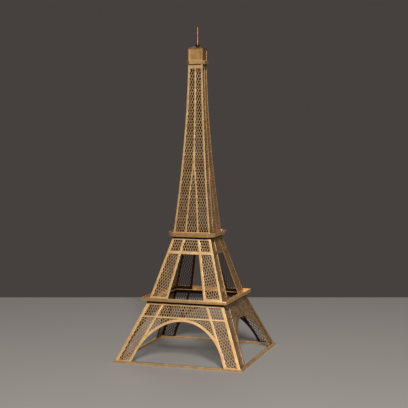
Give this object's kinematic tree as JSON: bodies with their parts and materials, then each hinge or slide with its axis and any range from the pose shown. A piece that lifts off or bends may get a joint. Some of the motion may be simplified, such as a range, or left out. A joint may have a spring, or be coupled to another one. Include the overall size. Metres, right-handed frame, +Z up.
{
  "type": "lattice tower display model",
  "caption": "Tall tapering lattice tower model with arched legs, an open middle stage, a mesh-filled spire, a square cabin and a mast, standing on a square base ring.",
  "frame": {"origin": "on the floor, under the tower's axis, at the middle of the base ring's underside", "axes": "+Z up along the tower's axis, -Y out of the front face, +X out of the right face"},
  "size_m": [0.79, 0.79, 1.9875],
  "materials": {
    "gold_bar": "antique gold lacquer on flat steel bar",
    "gold_mesh": "antique gold lacquer on expanded steel mesh",
    "gold_sheet": "antique gold lacquer on folded steel sheet"
  },
  "bodies": {
    "root": {"back_lower_frame": "gold_bar", "back_lower_frieze_mesh": "gold_mesh", "back_lower_leg_mesh_a": "gold_mesh", "back_lower_leg_mesh_b": "gold_mesh", "back_mid_frame": "gold_bar", "back_mid_frieze_mesh": "gold_mesh", "back_mid_leg_mesh_a": "gold_mesh", "back_mid_leg_mesh_b": "gold_mesh", "back_platform_rail": "gold_sheet", "back_spandrel_mesh_a": "gold_mesh", "back_spandrel_mesh_b": "gold_mesh", "back_spire_frame": "gold_bar", "back_spire_mesh": "gold_mesh", "base_ring": "gold_bar", "cabin": "gold_sheet", "cabin_roof": "gold_sheet", "front_lower_frame": "gold_bar", "front_lower_frieze_mesh": "gold_mesh", "front_lower_leg_mesh_a": "gold_mesh", "front_lower_leg_mesh_b": "gold_mesh", "front_mid_frame": "gold_bar", "front_mid_frieze_mesh": "gold_mesh", "front_mid_leg_mesh_a": "gold_mesh", "front_mid_leg_mesh_b": "gold_mesh", "front_platform_rail": "gold_sheet", "front_spandrel_mesh_a": "gold_mesh", "front_spandrel_mesh_b": "gold_mesh", "front_spire_frame": "gold_bar", "front_spire_mesh": "gold_mesh", "left_lower_frame": "gold_bar", "left_lower_frieze_mesh": "gold_mesh", "left_lower_leg_mesh_a": "gold_mesh", "left_lower_leg_mesh_b": "gold_mesh", "left_mid_frame": "gold_bar", "left_mid_frieze_mesh": "gold_mesh", "left_mid_leg_mesh_a": "gold_mesh", "left_mid_leg_mesh_b": "gold_mesh", "left_platform_rail": "gold_sheet", "left_spandrel_mesh_a": "gold_mesh", "left_spandrel_mesh_b": "gold_mesh", "left_spire_frame": "gold_bar", "left_spire_mesh": "gold_mesh", "mast": "gold_bar", "right_lower_frame": "gold_bar", "right_lower_frieze_mesh": "gold_mesh", "right_lower_leg_mesh_a": "gold_mesh", "right_lower_leg_mesh_b": "gold_mesh", "right_mid_frame": "gold_bar", "right_mid_frieze_mesh": "gold_mesh", "right_mid_leg_mesh_a": "gold_mesh", "right_mid_leg_mesh_b": "gold_mesh", "right_platform_rail": "gold_sheet", "right_spandrel_mesh_a": "gold_mesh", "right_spandrel_mesh_b": "gold_mesh", "right_spire_frame": "gold_bar", "right_spire_mesh": "gold_mesh", "second_platform_tray": "gold_sheet", "third_platform_cap": "gold_sheet"}
  },
  "joints": []
}
